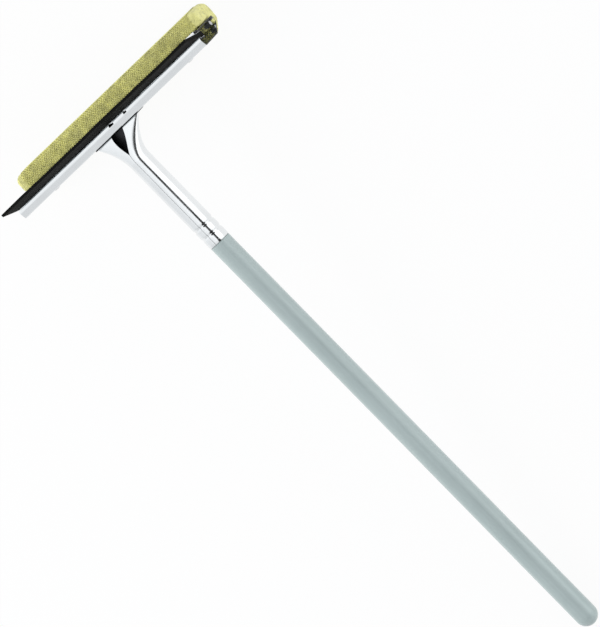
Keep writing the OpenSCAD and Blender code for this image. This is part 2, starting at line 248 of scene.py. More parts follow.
LEAN = math.radians(BLADE_LEAN)
BLADE_DIR = np.array([math.sin(LEAN), math.cos(LEAN)])
BLADE_SIDE = np.array([math.cos(LEAN), -math.sin(LEAN)])
MOUTH_HALF = BLADE_THICK / 2 + BLADE_CLEAR + SHEET / 2
CAVITY_HALF = ROOT_WIDTH / 2 + BLADE_CLEAR + SHEET / 2
CAVITY_FLOOR = ROOT_DEPTH + BLADE_CLEAR + SHEET / 2
SHOULDER_DROP = ROOT_DEPTH - ROOT_HEIGHT - BLADE_CLEAR
OUTER_HALF = CAVITY_HALF + SHEET + 0.1
FRONT_Y = HEAD_WIDTH - SHEET / 2
MOUTH = np.array([
    FRONT_Y - OUTER_HALF * BLADE_SIDE[0] + OUTER_BEND_DROP * BLADE_DIR[0],
    -LIP_DROP - MOUTH_HALF * math.sin(LEAN),
])
WRAP_R = ROD_R + FIT + NET_THICK
THROAT_Z = -LIP_DROP - HEAD_DEPTH + SHEET / 2
THROAT_Y = FRONT_Y - SHEET / 2 - NET_CLEAR - WRAP_R
TAPER_TOP_Z = THROAT_Z - SHEET / 2 + TAPER_HEIGHT


def in_blade(w, h):
    """A point at w across the blade and h out of the head, in the tool's own frame."""
    return MOUTH + w * BLADE_SIDE + h * BLADE_DIR


def corner(w, h, r=BEND_R):
    return [*in_blade(w, h), r]


def shell_line():
    """Middle line of the head's folded sheet, from its front bottom edge to its back one."""
    lip_z = in_blade(-MOUTH_HALF, 0)[1]
    return rounded([
        [THROAT_Y + THROAT_GAP / 2, THROAT_Z, 0],
        [FRONT_Y, THROAT_Z, BEND_R],
        [FRONT_Y, in_blade(OUTER_HALF, -OUTER_BEND_DROP)[1], BEND_R * 3],
        corner(OUTER_HALF, 0), corner(MOUTH_HALF, 0), corner(MOUTH_HALF, 1 - SHOULDER_DROP),
        corner(CAVITY_HALF, -SHOULDER_DROP), corner(CAVITY_HALF, -CAVITY_FLOOR),
        corner(-CAVITY_HALF, -CAVITY_FLOOR), corner(-CAVITY_HALF, -SHOULDER_DROP),
        corner(-MOUTH_HALF, 1 - SHOULDER_DROP), corner(-MOUTH_HALF, 0, LIP_BEND_R),
        [SHEET / 2, lip_z - ROOF_FALL, BEND_R],
        [SHEET / 2, TAPER_TOP_Z, BEND_R * 3],
        [THROAT_Y - THROAT_GAP / 2 - SHEET / 2, THROAT_Z, 0],
    ], BEND_STEPS)


TAPER_DIR = unit(np.array([THROAT_Y - THROAT_GAP / 2 - SHEET, THROAT_Z - TAPER_TOP_Z]))
TAPER_NORMAL = np.array([-TAPER_DIR[1], TAPER_DIR[0]])
ROD_STAND = SHEET / 2 + NET_CLEAR + WRAP_R
ROD_Z = THROAT_Z + max(
    ROD_STAND, (ROD_STAND - (THROAT_GAP / 2 + SHEET / 2) * TAPER_NORMAL[0]) / TAPER_NORMAL[1])
NET_HALF = NET_THICK / 2
TAIL_HALF = NET_HALF + FIT


def floor_z(y, up=0.0):
    """Height of the floor, raised by up, under the point y of the tool's own frame."""
    return (up - REST_LIFT - y * math.sin(TILT)) / math.cos(TILT)


def taper_line_y(z):
    """Middle line of the net's back flap along the head's tapered wall."""
    return (SHEET / 2 + (z - TAPER_TOP_Z) * TAPER_DIR[0] / TAPER_DIR[1]
            - (SHEET / 2 + NET_CLEAR + NET_HALF) / abs(TAPER_DIR[1]))


def net_line():
    """Middle line of the net, from the top of the rod down the front tail, round the foam and back."""
    groove_z = THROAT_Z - SHEET / 2 - NET_CLEAR - NET_HALF
    groove_front = HEAD_WIDTH + NET_CLEAR + NET_HALF
    front = HEAD_WIDTH + FOAM_FRONT - NET_HALF
    back = NET_HALF
    flap_top = TAPER_TOP_Z + (back - taper_line_y(TAPER_TOP_Z)) * TAPER_DIR[1] / TAPER_DIR[0]
    heel = THROAT_Y - 1
    path = rounded([
        [THROAT_Y + TAIL_HALF, groove_z + 1, 0],
        [THROAT_Y + TAIL_HALF, groove_z, NET_THICK],
        [groove_front, groove_z, 1],
        [groove_front, -FOAM_TOP - NET_HALF, 1],
        [front, -FOAM_TOP - NET_HALF, 5],
        [front, floor_z(front, NET_HALF), FOAM_TOE_R],
        [heel, floor_z(heel, NET_HALF), 5],
        [back, -FOAM_BOTTOM + FOAM_HEEL_RISE, 4],
        [back, flap_top, 0.8],
        [taper_line_y(groove_z), groove_z, 1],
        [THROAT_Y - TAIL_HALF, groove_z, NET_THICK],
        [THROAT_Y - TAIL_HALF, groove_z + 1, 0],
    ], 10)
    mid_r = WRAP_R - NET_HALF
    tail = math.degrees(math.asin(TAIL_HALF / mid_r))

    def rod_points(start, end):
        angles = np.radians(np.linspace(start, end, 13))
        return np.column_stack((THROAT_Y + mid_r * np.cos(angles), ROD_Z + mid_r * np.sin(angles)))

    return np.vstack((rod_points(86, -90 + tail), path, rod_points(270 - tail, 94)))


# Meshes
def smoothed(mesh, sharp):
    """Smooth faces; edges that bend more than sharp, in radians, stay sharp."""
    mesh.polygons.foreach_set("use_smooth", [True] * len(mesh.polygons))
    mesh.set_sharp_from_angle(angle=sharp)
    mesh.update()


def linked(name, data):
    """A new object of a mesh, lamp or camera, in the scene."""
    obj = bpy.data.objects.new(name, data)
    bpy.context.scene.collection.objects.link(obj)
    return obj


def placed(name, mesh, sharp=FOLD_BEND):
    smoothed(mesh, sharp)
    return linked(name, mesh)


def mesh_object(name, points, faces):
    """A smooth mesh object of points in metres."""
    mesh = bpy.data.meshes.new(name)
    mesh.from_pydata([tuple(p) for p in points], [], [tuple(int(i) for i in f) for f in faces])
    mesh.validate()
    return placed(name, mesh)


def outward(obj):
    """Merges doubles and turns a closed mesh's faces outwards."""
    bm = bmesh.new()
    bm.from_mesh(obj.data)
    bmesh.ops.remove_doubles(bm, verts=bm.verts, dist=1e-6)
    bmesh.ops.recalc_face_normals(bm, faces=bm.faces)
    bm.to_mesh(obj.data)
    bm.free()


def baked(obj, name, sharp=FOLD_BEND):
    """The evaluated object as a plain mesh object of its own, in place of the first one."""
    made = bpy.data.meshes.new_from_object(obj.evaluated_get(bpy.context.evaluated_depsgraph_get()))
    made.name = name
    bpy.data.objects.remove(obj)
    return placed(name, made, sharp)


def grid_faces(rows, cols, closed=False):
    """Quads between the rows of a grid of points."""
    return [
        (r * cols + c, r * cols + (c + 1) % cols, (r + 1) * cols + (c + 1) % cols, (r + 1) * cols + c)
        for r in range(rows - 1) for c in range(cols if closed else cols - 1)
    ]


def tube_faces(rows, cols):
    """The faces of a closed tube of points, with its two ends."""
    first, last = range(cols), range((rows - 1) * cols, rows * cols)
    return grid_faces(rows, cols, closed=True) + [tuple(first), tuple(last)[::-1]]


def finish_piece(obj, body, slot, material, *nodes):
    """Gives a piece its material and its body, and hides the solids that it stands for; slot is not used."""
    if material is not None:
        obj.data.materials.clear()
        obj.data.materials.append(material)
    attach(obj, body)
    if nodes:
        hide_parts(*nodes)


# Node trees
class Tree:
    """Short ways to add and join the nodes of one tree."""

    def __init__(self, tree):
        self.tree = tree

    def add(self, kind, inputs=None, **settings):
        """A node with its settings made first, then its inputs linked or set."""
        node = self.tree.nodes.new(kind)
        for key, value in settings.items():
            setattr(node, key, value)
        for key, value in (inputs or {}).items():
            socket = node.inputs[key]
            if hasattr(value, "is_output"):
                self.tree.links.new(value, socket)
            else:
                socket.default_value = value
        return node

    def out(self, kind, inputs=None, **settings):
        """The first output of such a node."""
        return self.add(kind, inputs, **settings).outputs[0]

    def math(self, operation, a, b=0.0):
        return self.out("ShaderNodeMath", {0: a, 1: b}, operation=operation)

    def times(self, a, b):
        return self.math("MULTIPLY", a, b)

    def plus(self, a, b):
        return self.math("ADD", a, b)

    def minus(self, a, b):
        return self.math("SUBTRACT", a, b)

    def xyz(self, x=0.0, y=0.0, z=0.0):
        return self.out("ShaderNodeCombineXYZ", {0: x, 1: y, 2: z})

    def parts(self, vector):
        """The x, y and z of a vector."""
        return self.add("ShaderNodeSeparateXYZ", {0: vector}).outputs

    def vector(self, operation, a, b):
        return self.out("ShaderNodeVectorMath", {0: a, 1: b}, operation=operation)

    def dot(self, a, b):
        return self.add("ShaderNodeVectorMath", {0: a, 1: b}, operation="DOT_PRODUCT").outputs["Value"]

    def scaled(self, vector, factor):
        return self.out("ShaderNodeVectorMath", {0: vector, "Scale": factor}, operation="SCALE")

    def ranged(self, value, low, high, to_low, to_high):
        return self.out("ShaderNodeMapRange", {
            "Value": value, "From Min": low, "From Max": high, "To Min": to_low, "To Max": to_high})

    def noise(self, place, scale, detail, rough=0.5):
        return self.out("ShaderNodeTexNoise", {
            "Vector": place, "Scale": scale, "Detail": detail, "Roughness": rough})

    def joined(self, parts):
        node = self.add("GeometryNodeJoinGeometry")
        for part in parts:
            self.link(part, node.inputs[0])
        return node.outputs[0]

    def position(self):
        return self.out("GeometryNodeInputPosition")

    def link(self, a, b):
        self.tree.links.new(a, b)


def new_tree(name, kind, inputs, outputs):
    """A new tree with sockets of (label, kind): its short ways, what comes in and where it goes out."""
    tree = bpy.data.node_groups.new(name, kind)
    for way, sockets in (("OUTPUT", outputs), ("INPUT", inputs)):
        for label, socket_kind in sockets:
            tree.interface.new_socket(label, in_out=way, socket_type="NodeSocket" + socket_kind)
    t = Tree(tree)
    return t, t.add("NodeGroupInput").outputs, t.add("NodeGroupOutput").inputs


def shape_tree(name, *labels):
    """A new geometry tree with a geometry out, and in a geometry, the labelled numbers and a material."""
    geometry = ("Geometry", "Geometry")
    numbers = [(label, "Int" if label == "Stations" else "Float") for label in labels]
    return new_tree(name, "GeometryNodeTree", [geometry, *numbers, ("Material", "Material")], [geometry])


def shading_group(name, inputs, outputs):
    """A new shader group with the labelled numbers in and out."""
    numbers = ([(label, "Float") for label in labels] for labels in (inputs, outputs))
    return new_tree(name, "ShaderNodeTree", *numbers)


def laid_down(t, geometry):
    """Geometry of the tool's own frame as it lies on the floor."""
    return t.out("GeometryNodeTransform", {
        "Geometry": geometry, "Translation": (0, -CENTRE_Y * MM, REST_LIFT * MM), "Rotation": (TILT, 0, 0)})


def finish_tree(t, inp, out, geometry):
    """Sends the geometry out with the material that comes in."""
    realized = t.out("GeometryNodeRealizeInstances", {0: geometry})
    painted = t.out("GeometryNodeSetMaterial", {"Geometry": realized, "Material": inp["Material"]})
    t.link(painted, out[0])


def chain(line):
    """A line of [y, z] in millimetres as points in metres, and the edges that join them."""
    points = np.column_stack((np.zeros(len(line)), line)) * MM
    return points, [(i, i + 1) for i in range(len(line) - 1)]


def grown(name, points, edges, tree, values, sharp=FOLD_BEND):
    """A plain mesh that a geometry tree makes from points in metres, its inputs set by name."""
    mesh = bpy.data.meshes.new(name + "_seed")
    mesh.from_pydata([tuple(p) for p in points], edges, [])
    seed = linked(name + "_seed", mesh)
    modifier = seed.modifiers.new("Shape", "NODES")
    modifier.node_group = tree
    keys = {s.name: s.identifier for s in tree.interface.items_tree if s.in_out == "INPUT"}
    for label, value in values.items():
        modifier[keys[label]] = value
    bpy.context.view_layer.update()
    return baked(seed, name, sharp)


def tool_coordinates(t):
    """Object coordinates turned level with the tool's own axes."""
    place = t.add("ShaderNodeTexCoord").outputs["Object"]
    return t.out("ShaderNodeMapping", {"Vector": place, "Rotation": (-TILT, 0, 0)})


def marks_group(name):
    """Faint smudges and fine pits: a mask and a height."""
    t, inp, out = shading_group(name, ("Smudge scale", "Pit scale"), ("Smudge", "Pits"))
    place = tool_coordinates(t)
    t.link(t.noise(place, inp[0], 4.0, 0.6), out[0])
    t.link(t.noise(place, inp[1], 2.0), out[1])
    return t.tree


def grain_group(name):
    """Long fine lines along one of the tool's axes: a value from 0 to 1."""
    t, inp, out = shading_group(name, ("Across X", "Across Y", "Across Z"), ("Grain",))
    stretch = t.xyz(inp[0], inp[1], inp[2])
    t.link(t.noise(t.vector("MULTIPLY", tool_coordinates(t), stretch), 1.0, 3.0, 0.55), out[0])
    return t.tree


def place_group(t, name, build, values):
    """The outputs of a group that is built once, with its inputs set in order."""
    node = t.add("ShaderNodeGroup")
    node.node_tree = bpy.data.node_groups.get(name) or build(name)
    for socket, value in zip(node.inputs, values):
        socket.default_value = value
    return node.outputs


def marks_in(t, smudge_scale, pit_scale):
    return place_group(t, "Marks", marks_group, (smudge_scale, pit_scale))


def grain_in(t, across):
    return place_group(t, "Long grain", grain_group, across)[0]


def emptied(block):
    """The short ways of a material's or a world's own tree, with no node in it."""
    block.use_nodes = True
    block.node_tree.nodes.clear()
    return Tree(block.node_tree)


def new_material(name):
    """A material and the short ways of its empty tree."""
    material = bpy.data.materials.new(name)
    return material, emptied(material)


def ramp(t, value, stops):
    """A colour ramp with stops of (place, (r, g, b))."""
    node = t.add("ShaderNodeValToRGB", {0: value})
    elements = node.color_ramp.elements
    while len(elements) < len(stops):
        elements.new(0.5)
    for element, (at, colour) in zip(elements, stops):
        element.position = at
        element.color = (*colour, 1)
    return node.outputs[0]


def shade(colour, factor):
    return tuple(min(1.0, c * factor) for c in colour)


def spread(t, value, low, high):
    """The usual range of a noise spread from low to high."""
    return t.ranged(value, 0.3, 0.7, low, high)


def surface(t, sockets, height, strength, distance):
    """Ends a material in one shader, its sockets linked or set, with a bump from a height."""
    bump = t.out("ShaderNodeBump", {"Height": height, "Strength": strength, "Distance": distance})
    shader = t.out("ShaderNodeBsdfPrincipled", {**sockets, "Normal": bump})
    t.add("ShaderNodeOutputMaterial", {0: shader})


def chrome_material(name, wave, rough):
    """Chrome plating; marked faces are near-black dull steel, which is painted shade: on the shank's inside,
    the flange's rim and the cut edges, which are also bare steel.
    """
    material, t = new_material(name)
    plating = tuple(colours().chrome)
    smudge, pits = marks_in(t, 55.0, 1400.0)
    plated = ramp(t, smudge, [(0.3, shade(plating, 0.94)), (0.7, plating)])
    bare_and_shade_mask = t.add("ShaderNodeAttribute", attribute_name="bare_and_painted_shade").outputs["Fac"]
    # Marked faces get a near-black colour: painted shade on the shank's inside, the flange's rim and the cut
    # edges, which are also bare steel
    plating_and_painted_shade = t.add("ShaderNodeMix", {0: bare_and_shade_mask, 6: plated, 7: (0.045, 0.046, 0.05, 1)}, data_type="RGBA")
    roughness_with_shaded_faces = t.out(
        "ShaderNodeMix", {0: bare_and_shade_mask, 2: spread(t, smudge, rough, rough + 0.10), 3: 0.45}, data_type="FLOAT")
    waves = t.noise(tool_coordinates(t), 60.0, 1.0)
    surface(t, {"Base Color": plating_and_painted_shade.outputs[2], "Roughness": roughness_with_shaded_faces, "Metallic": 1.0},
            t.plus(t.times(waves, wave), t.times(pits, 0.02)), 0.5, 0.0006)
    return material


def steel_material(name, steel, across, rough):
    """Drawn or rolled steel with its grain scaled across the tool's axes."""
    material, t = new_material(name)
    grain = grain_in(t, across)
    drawn = ramp(t, grain, [(0.3, shade(steel, 0.75)), (0.7, steel)])
    surface(t, {"Base Color": drawn, "Roughness": spread(t, grain, rough, rough + 0.15), "Metallic": 1.0},
            grain, 0.25, 0.0002)
    return material


def paint_material():
    """Paint that shows a little of the wood's grain and some handling marks."""
    material, t = new_material("handle_paint")
    paint = tuple(colours().paint)
    grain = grain_in(t, (420.0, 9.0, 420.0))
    smudge, pits = marks_in(t, 30.0, 700.0)
    base = ramp(t, grain, [(0.25, shade(paint, 0.93)), (0.75, shade(paint, 1.05))])
    wear = ramp(t, smudge, [(0.35, (0.86, 0.88, 0.88)), (0.6, (1, 1, 1))])
    worn = t.add("ShaderNodeMix", {0: 0.35, 6: base, 7: wear}, data_type="RGBA", blend_type="MULTIPLY")
    surface(t, {"Base Color": worn.outputs[2], "Roughness": spread(t, smudge, 0.30, 0.44),
                "Coat Weight": 0.35, "Coat Roughness": 0.22},
            t.plus(grain, t.times(pits, 0.4)), 0.22, 0.0003)
    return material


def rubber_material():
    """Black rubber with fine lines along the blade."""
    material, t = new_material("blade_rubber")
    grain = grain_in(t, (12.0, 500.0, 500.0))
    smudge, pits = marks_in(t, 70.0, 1600.0)
    dusty = ramp(t, smudge, [(0.35, tuple(colours().rubber)), (0.8, (0.012, 0.012, 0.010))])
    surface(t, {"Base Color": dusty, "Roughness": spread(t, grain, 0.6, 0.75), "Specular IOR Level": 0.03},
            t.plus(t.times(grain, 0.6), t.times(pits, 0.3)), 0.3, 0.0002)
    return material


def foam_material():
    """Open pores of two sizes, their hollows darkened as painted shade, with blotches."""
    material, t = new_material("open_cell_foam")
    foam = tuple(colours().foam)
    place = tool_coordinates(t)
    fine, coarse = (
        t.add("ShaderNodeTexVoronoi", {"Vector": place, "Scale": scale}).outputs["Distance"]
        for scale in (700.0, 260.0))
    depth = t.plus(t.times(fine, 0.6), t.times(coarse, 0.5))
    tone = t.plus(t.times(depth, 0.7), t.times(t.noise(place, 140.0, 3.0), 0.45))
    # The pores' hollows are darkened as painted shade; the noise gives real blotches of tone
    pores_with_painted_shade = ramp(t, tone, [(0.28, shade(foam, 0.45)), (0.50, shade(foam, 0.85)), (0.72, foam)])
    surface(t, {"Base Color": pores_with_painted_shade, "Roughness": 0.85, "Sheen Weight": 0.25}, depth, 0.9, 0.0009)
    return material


def net_material():
    """Thread that is darker where it is dirty."""
    material, t = new_material("net_thread")
    thread = tuple(colours().net)
    smudge, pits = marks_in(t, 160.0, 1200.0)
    dirty = ramp(t, smudge, [(0.35, shade(thread, 0.65)), (0.65, shade(thread, 1.25))])
    surface(t, {"Base Color": dirty, "Roughness": spread(t, smudge, 0.45, 0.65)}, pits, 0.2, 0.0001)
    return material


# Shank
def fan_half(s):
    """Half the fan's width at s, from 0 at the tube to 1 at the head."""
    return TUBE_R + (FAN_WIDTH / 2 - TUBE_R) * s ** FAN_SPREAD


def fan_section(s, inset, angles):
    """Section of the fan at s, at the given angles; it grows squarer towards the head."""
    top = -LIP_DROP - ROOF_FALL
    high = TUBE_R + (top - TUBE_R) * s ** FAN_RISE
    low = -TUBE_R + (top - FAN_DEPTH + TUBE_R) * s ** FAN_DROP
    power = 1 / (1 + FAN_SQUARING * s)
    half, up = fan_half(s) - inset, (high - low) / 2 - inset
    c, n = np.cos(angles), np.sin(angles)
    return np.column_stack((
        half * np.sign(c) * np.abs(c) ** power,
        (high + low) / 2 + up * np.sign(n) * np.abs(n) ** power,
    ))


def slit_half(y):
    """Half the width of the opening along the shank's top at y: its seam, then its notch."""
    k = 1 + y / NOTCH_LENGTH
    if k <= 0:
        return SEAM_WIDTH / 2
    return max(SEAM_WIDTH / 2, NOTCH_WIDTH / 2 * math.sin(math.pi / 2 * min(k, 1)) ** NOTCH_POWER)


def open_angles(y, s):
    """Angles from one edge of the opening round the underside to its other edge."""
    delta = math.asin((slit_half(y) / fan_half(s)) ** (1 + FAN_SQUARING * s))
    return np.linspace(math.pi / 2 - delta, -1.5 * math.pi + delta, SHANK_COLUMNS)


def crimp_steps(count):
    """Places across one crimp ring, from its middle."""
    return np.linspace(-CRIMP_WIDTH / 2, CRIMP_WIDTH / 2, count)


def crimp_depth(d):
    """Depth of a crimp ring at d from its middle."""
    return CRIMP_DEPTH * math.cos(math.pi / 2 * min(1, abs(d) / (CRIMP_WIDTH / 2))) ** 2


def tube_radius(y):
    """Outer radius of the tube at y, with its two crimp rings."""
    return TUBE_R - sum(crimp_depth(-y - place) for place in CRIMPS)


def flange_point(centre, direction):
    """Where a ray from the fan's mouth meets the flange's rounded outline."""
    half = FAN_WIDTH / 2 + FLANGE_MARGIN
    top = -LIP_DROP - ROOF_FALL + FLANGE_MARGIN / 2
    bottom = top - FLANGE_HEIGHT
    corners = rounded([
        [0, top, 0], [-half, top, FLANGE_TOP_R], [-half, bottom, FLANGE_BOTTOM_R],
        [half, bottom, FLANGE_BOTTOM_R], [half, top, FLANGE_TOP_R], [0, top, 0]], 12)
    best = None
    for a, b in zip(corners[:-1], corners[1:]):
        edge = b - a
        cross = direction[0] * edge[1] - direction[1] * edge[0]
        if abs(cross) < 1e-9:
            continue
        gap = a - centre
        along = (gap[0] * edge[1] - gap[1] * edge[0]) / cross
        share = (gap[0] * direction[1] - gap[1] * direction[0]) / cross
        if along > 0 and -1e-6 <= share <= 1 + 1e-6 and (best is None or along < best):
            best = along
    return centre + best * direction


def shank_mesh():
    """The rolled sheet as one strip, up its outside, over the flange and back down its inside: its points,
    its faces, and for each face whether it is painted near-black as shade: its inside and its cut edges."""
    count = SHANK_COLUMNS
    tube = sorted({
        *np.round(np.arange(-SHANK_LENGTH, -FAN_LENGTH, TUBE_STEP), 3),
        *(round(d - place, 3) for place in CRIMPS for d in crimp_steps(CRIMP_ROWS)),
    })
    outer, inner = [], []

    def add_ring(rings, x, y, z):
        rings.append(np.column_stack((x, np.full(count, y), z)))

    for y in tube:
        angles = open_angles(y, 0)
        for rings, inset in ((outer, 0), (inner, SHEET)):
            r = tube_radius(y) - inset
            add_ring(rings, r * np.cos(angles), y, r * np.sin(angles))
    for s in np.linspace(0, 1, FAN_ROWS):
        y = -FAN_LENGTH + s * (FAN_LENGTH - SHEET / 2)
        angles = open_angles(y, s)
        for rings, inset in ((outer, 0), (inner, SHEET)):
            x, z = fan_section(s, inset, angles).T
            add_ring(rings, x, min(y, -SHEET if inset == 0 else 0), z)
    mouth = fan_section(1, SHEET, angles)
    centre = np.array([0.0, (mouth[:, 1].max() + mouth[:, 1].min()) / 2])
    edge = np.array([flange_point(centre, unit(p - centre)) for p in mouth])
    beside_notch = (np.abs(edge[:, 0]) < NOTCH_WIDTH / 2) & (edge[:, 1] > centre[1])
    edge[beside_notch, 0] = np.sign(edge[beside_notch, 0]) * NOTCH_WIDTH / 2
    add_ring(outer, edge[:, 0], -SHEET, edge[:, 1])
    add_ring(inner, edge[:, 0], 0.0, edge[:, 1])
    rings = outer + inner[::-1]
    total = len(rings)
    faces = grid_faces(total, count)
    last = (total - 1) * count
    faces += [(last + c, last + c + 1, c + 1, c) for c in range(count - 1)]
    # Faces from the flange's rim down the inside are marked to be painted near-black as shade
    bare_and_painted_shade = [row >= len(outer) - 1 for row in range(total) for c in range(count - 1)]
    # The slit's cut edges are marked too: bare steel, painted near-black as shade
    for side in (0, count - 1):
        for i in range(len(outer) - 1):
            a, b = i * count + side, (i + 1) * count + side
            c, d = (total - 2 - i) * count + side, (total - 1 - i) * count + side
            faces.append((a, b, c, d) if side else (d, c, b, a))
            bare_and_painted_shade.append(True)
    return np.vstack(rings), faces, bare_and_painted_shade


def mark_bare_and_painted_shade(mesh, values):
    """Marks the faces that are painted near-black as shade; those on cut edges are also bare steel."""
    mesh.attributes.new("bare_and_painted_shade", "FLOAT", "FACE").data.foreach_set("value", [float(v) for v in values])


def bevelled(obj, width, segments=2):
    """Breaks an object's sharp edges by a width in millimetres."""
    modifier = obj.modifiers.new("Edge", "BEVEL")
    modifier.width = width * MM
    modifier.segments = segments
    modifier.limit_method = "ANGLE"
    modifier.angle_limit = SHARP_BEND


class SCRUBBER_OT_shank(bpy.types.Operator):
    """Makes the rolled sheet-metal shank with its crimp rings, seam, fan, notch and flange"""
    bl_idname = "scrubber.shank"
    bl_label = "Shank"

    def execute(self, context):
        points, faces, bare_and_painted_shade = shank_mesh()
        shank = mesh_object("shank_sheet", laid(points), faces)
        mark_bare_and_painted_shade(shank.data, bare_and_painted_shade)
        outward(shank)
        bevelled(shank, SHANK_BEVEL)
        shank = baked(shank, "shank_sheet", SHARP_BEND)
        finish_piece(shank, "head", "chrome_sheet", chrome_material("shank_chrome", 0.16, 0.10), "shank")
        return {"FINISHED"}


# Head
def fold_tree():
    """A sheet that follows a line of points, drawn out along X, with stake notches cut in its lip."""
    t, inp, out = shape_tree(
        "Folded sheet", "Length", "Stations", "Waviness", "Notch bottom", "Notch back", "Notch front")
    geometry = inp["Geometry"]
    count = t.add("GeometryNodeAttributeDomainSize", {"Geometry": geometry}).outputs["Point Count"]
    last = t.minus(count, 1.0)
    grid = t.out("GeometryNodeMeshGrid", {
        "Size X": inp["Length"], "Size Y": last,
        "Vertices X": inp["Stations"], "Vertices Y": count})
    flat = t.parts(t.position())
    index = t.math("ROUND", t.plus(flat[1], t.times(last, 0.5)))
    line = t.parts(t.out(
        "GeometryNodeSampleIndex", {"Geometry": geometry, "Value": t.position(), "Index": index},
        data_type="FLOAT_VECTOR", domain="POINT"))
    wave = t.out("ShaderNodeTexNoise", {"Scale": 14.0, "Detail": 1.0})
    lift = t.times(t.minus(wave, 0.5), inp["Waviness"])
    folded = t.out("GeometryNodeSetPosition", {
        "Geometry": grid, "Position": t.xyz(flat[0], t.plus(line[1], lift), t.plus(line[2], lift))})
    at = t.parts(t.position())
    along = [
        t.math("LESS_THAN", t.math("ABSOLUTE", t.minus(at[0], middle * MM)), width * MM / 2)
        for middle, width in STAKE_NOTCHES]
    high = t.math("GREATER_THAN", at[2], inp["Notch bottom"])
    past = t.math("GREATER_THAN", at[1], inp["Notch back"])
    short = t.math("LESS_THAN", at[1], inp["Notch front"])
    gone = t.times(t.times(t.math("MAXIMUM", *along), high), t.times(past, short))
    cut = t.out("GeometryNodeDeleteGeometry", {"Geometry": folded, "Selection": gone}, domain="FACE")
    finish_tree(t, inp, out, laid_down(t, cut))
    return t.tree


class SCRUBBER_OT_head(bpy.types.Operator):
    """Folds the chrome-plated head from one strip, with its blade channel and its throat"""
    bl_idname = "scrubber.head"
    bl_label = "Head"

    def execute(self, context):
        line = evened(shell_line(), SHEET_STEP)
        chrome = chrome_material("head_chrome", 0.10, 0.12)
        lip_y = in_blade(-MOUTH_HALF, 0)[0]
        shell = grown("head_fold", *chain(line), fold_tree(), {
            "Length": sizes().head_length, "Stations": SHELL_COLUMNS, "Waviness": SHELL_WAVE * MM,
            "Notch bottom": (-LIP_DROP - STAKE_DROP) * MM, "Notch back": (lip_y - STAKE_BACK) * MM,
            "Notch front": (lip_y + STAKE_FRONT) * MM, "Material": chrome})
        wall = shell.modifiers.new("Wall", "SOLIDIFY")
        wall.thickness = SHEET * MM
        wall.offset = 0
        wall.use_even_offset = True
        bevelled(shell, HEAD_BEVEL, 1)
        shell = baked(shell, "head_fold")
        outward(shell)
        # The head's cut ends are marked to be painted near-black as shade; they are also bare steel
        shaded_cut_ends = [abs(face.normal.x) > 0.7 for face in shell.data.polygons]
        mark_bare_and_painted_shade(shell.data, shaded_cut_ends)
        finish_piece(shell, "head", "chrome_sheet", chrome, "head_shell")
        return {"FINISHED"}


# Rivets
def rivet_tree():
    """A round-headed rivet at each point, its axis along the tool's own Y."""
    t, inp, out = shape_tree(
        "Rivets", "Head radius", "Head height", "Tail radius", "Tail height", "Length", "Shank radius")
    length = inp["Length"]
    ball = t.out("GeometryNodeMeshUVSphere", {"Segments": 40, "Rings": 24, "Radius": 1.0})
    rod = t.out("GeometryNodeMeshCylinder", {
        "Vertices": 32, "Radius": inp["Shank radius"], "Depth": length})
    parts = []
    for end, up in (("Head", 0.0), ("Tail", 1.0)):
        radius, height = inp[end + " radius"], inp[end + " height"]
        parts.append(t.out("GeometryNodeTransform", {
            "Geometry": ball, "Scale": t.xyz(radius, radius, height),
            "Translation": t.xyz(z=t.times(length, up))}))
    parts.append(t.out("GeometryNodeTransform", {
        "Geometry": rod, "Translation": t.xyz(z=t.times(length, 0.5))}))
    joined = t.joined(parts)
    set_rivets = t.out("GeometryNodeInstanceOnPoints", {
        "Points": inp["Geometry"], "Instance": joined,
        "Rotation": (TILT - math.pi / 2, 0, 0)})
    finish_tree(t, inp, out, set_rivets)
    return t.tree


class SCRUBBER_OT_rivets(bpy.types.Operator):
    """Sets the flange's three rivets and the head's two long ones"""
    bl_idname = "scrubber.rivets"
    bl_label = "Rivets"

    def execute(self, context):
        tree = rivet_tree()
        steel = steel_material("rivet_zinc", (0.74, 0.75, 0.77), (900, 900, 900), 0.24)
        flange_z = -LIP_DROP - ROOF_FALL + FLANGE_MARGIN / 2 - FLANGE_RIVET_DROP
        # Each set as its name, its places, the rivets' length, its solid and the height of a head
        groups = (
            ("flange_rivet_set", [(x, -SHEET, flange_z) for x in FLANGE_RIVETS_X],
             SHEET * 2 + PLATE_THICK, "flange_rivets", 1.2),
            ("long_rivet_set", [(x, 0, LONG_RIVET_Z) for x in LONG_RIVETS_X],
             HEAD_WIDTH, "shell_rivets", 1.1),
        )
        for name, places, length, node, height in groups:
            rivets = grown(name, laid(places), [], tree, {
                "Head radius": RIVET_HEAD_R * MM, "Head height": height * MM,
                "Tail radius": RIVET_TAIL_R * MM, "Tail height": height * RIVET_TAIL_SHARE * MM,
                "Length": length * MM, "Shank radius": RIVET_R * MM, "Material": steel})
            finish_piece(rivets, "head", "rivet_steel", None, node)
        return {"FINISHED"}


